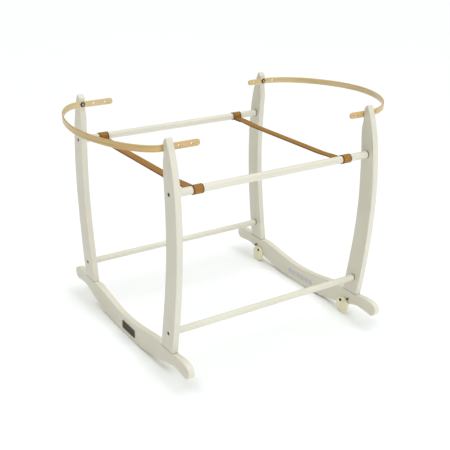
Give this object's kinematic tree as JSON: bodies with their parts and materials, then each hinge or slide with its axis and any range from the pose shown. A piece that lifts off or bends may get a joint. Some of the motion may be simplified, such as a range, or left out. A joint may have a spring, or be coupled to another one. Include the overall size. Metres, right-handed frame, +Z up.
{
  "type": "rocking moses basket stand",
  "caption": "Rocking wooden stand for a Moses basket, with webbing support straps, bentwood end hoops and eccentric discs that stop the rocking.",
  "frame": {"origin": "on the floor, under the middle of the object's outline with the hoops as set", "axes": "+X along the rails, +Y across the end frames in the rocking direction, +Z up"},
  "size_m": [0.925, 0.694, 0.633],
  "materials": {
    "painted_wood": "satin white paint over fine grain, wood showing faintly at the edges",
    "bentwood": "clear-lacquered steam-bent ash strip, grain along its length",
    "webbing": "flat-woven tan webbing with darker edges",
    "disc_ivory": "cream-lacquered turned wood",
    "bronze_steel": "dark bronze-plated steel",
    "zinc_steel": "zinc-plated steel",
    "beech": "plain fluted beech dowel",
    "plate_bronze": "dark bronzed plate, no lettering"
  },
  "bodies": {
    "stand": {"disc_screw_back_left": "bronze_steel", "disc_screw_back_right": "bronze_steel", "disc_screw_front_left": "bronze_steel", "disc_screw_front_right": "bronze_steel", "dowel_back_left_1": "beech", "dowel_back_left_2": "beech", "dowel_back_right_1": "beech", "dowel_back_right_2": "beech", "dowel_front_left_1": "beech", "dowel_front_left_2": "beech", "dowel_front_right_1": "beech", "dowel_front_right_2": "beech", "hoop_screw_back_left": "zinc_steel", "hoop_screw_back_right": "zinc_steel", "hoop_screw_front_left": "zinc_steel", "hoop_screw_front_right": "zinc_steel", "hoop_washer_back_left": "bronze_steel", "hoop_washer_back_right": "bronze_steel", "hoop_washer_front_left": "bronze_steel", "hoop_washer_front_right": "bronze_steel", "leg_back_left": "painted_wood", "leg_back_right": "painted_wood", "leg_front_left": "painted_wood", "leg_front_right": "painted_wood", "name_plate": "plate_bronze", "rail_bolt_lower_back_left": "bronze_steel", "rail_bolt_lower_back_right": "bronze_steel", "rail_bolt_lower_front_left": "bronze_steel", "rail_bolt_lower_front_right": "bronze_steel", "rail_bolt_upper_back_left": "bronze_steel", "rail_bolt_upper_back_right": "bronze_steel", "rail_bolt_upper_front_left": "bronze_steel", "rail_bolt_upper_front_right": "bronze_steel", "rail_insert_lower_back_left": "zinc_steel", "rail_insert_lower_back_right": "zinc_steel", "rail_insert_lower_front_left": "zinc_steel", "rail_insert_lower_front_right": "zinc_steel", "rail_insert_upper_back_left": "zinc_steel", "rail_insert_upper_back_right": "zinc_steel", "rail_insert_upper_front_left": "zinc_steel", "rail_insert_upper_front_right": "zinc_steel", "rail_lower_back": "painted_wood", "rail_lower_front": "painted_wood", "rail_upper_back": "painted_wood", "rail_upper_front": "painted_wood", "rocker_left": "painted_wood", "rocker_right": "painted_wood", "stop_pin_back_left": "bronze_steel", "stop_pin_back_right": "bronze_steel", "stop_pin_front_left": "bronze_steel", "stop_pin_front_right": "bronze_steel"},
    "left_hoop": {"hoop_left": "bentwood"},
    "left_strap": {"strap_left": "webbing"},
    "front_left_disc": {"stop_disc_front_left": "disc_ivory"},
    "back_left_disc": {"stop_disc_back_left": "disc_ivory"},
    "right_hoop": {"hoop_right": "bentwood"},
    "right_strap": {"strap_right": "webbing"},
    "front_right_disc": {"stop_disc_front_right": "disc_ivory"},
    "back_right_disc": {"stop_disc_back_right": "disc_ivory"}
  },
  "joints": [
    {"name": "left_hoop_tilt", "type": "hinge", "parent": "stand", "child": "left_hoop", "pos_m": [-0.3375, 0, 0.607], "axis": [0, 1, 0], "range_deg": [-30, 30]},
    {"name": "left_strap_slide", "type": "slide", "parent": "stand", "child": "left_strap", "axis": [1, 0, 0], "range_m": [-0.035, 0.15]},
    {"name": "front_left_disc_turn", "type": "hinge", "parent": "stand", "child": "front_left_disc", "pos_m": [-0.3375, -0.211, 0.0395], "axis": [1, 0, 0], "range_deg": [-149, 52]},
    {"name": "back_left_disc_turn", "type": "hinge", "parent": "stand", "child": "back_left_disc", "pos_m": [-0.3375, 0.211, 0.0395], "axis": [-1, 0, 0], "range_deg": [-149, 52]},
    {"name": "right_hoop_tilt", "type": "hinge", "parent": "stand", "child": "right_hoop", "pos_m": [0.2715, 0, 0.607], "axis": [0, -1, 0], "range_deg": [-30, 30]},
    {"name": "right_strap_slide", "type": "slide", "parent": "stand", "child": "right_strap", "axis": [1, 0, 0], "range_m": [-0.15, 0.05]},
    {"name": "front_right_disc_turn", "type": "hinge", "parent": "stand", "child": "front_right_disc", "pos_m": [0.2715, -0.211, 0.0395], "axis": [1, 0, 0], "range_deg": [-14, 187]},
    {"name": "back_right_disc_turn", "type": "hinge", "parent": "stand", "child": "back_right_disc", "pos_m": [0.2715, 0.211, 0.0395], "axis": [-1, 0, 0], "range_deg": [-14, 187]}
  ]
}
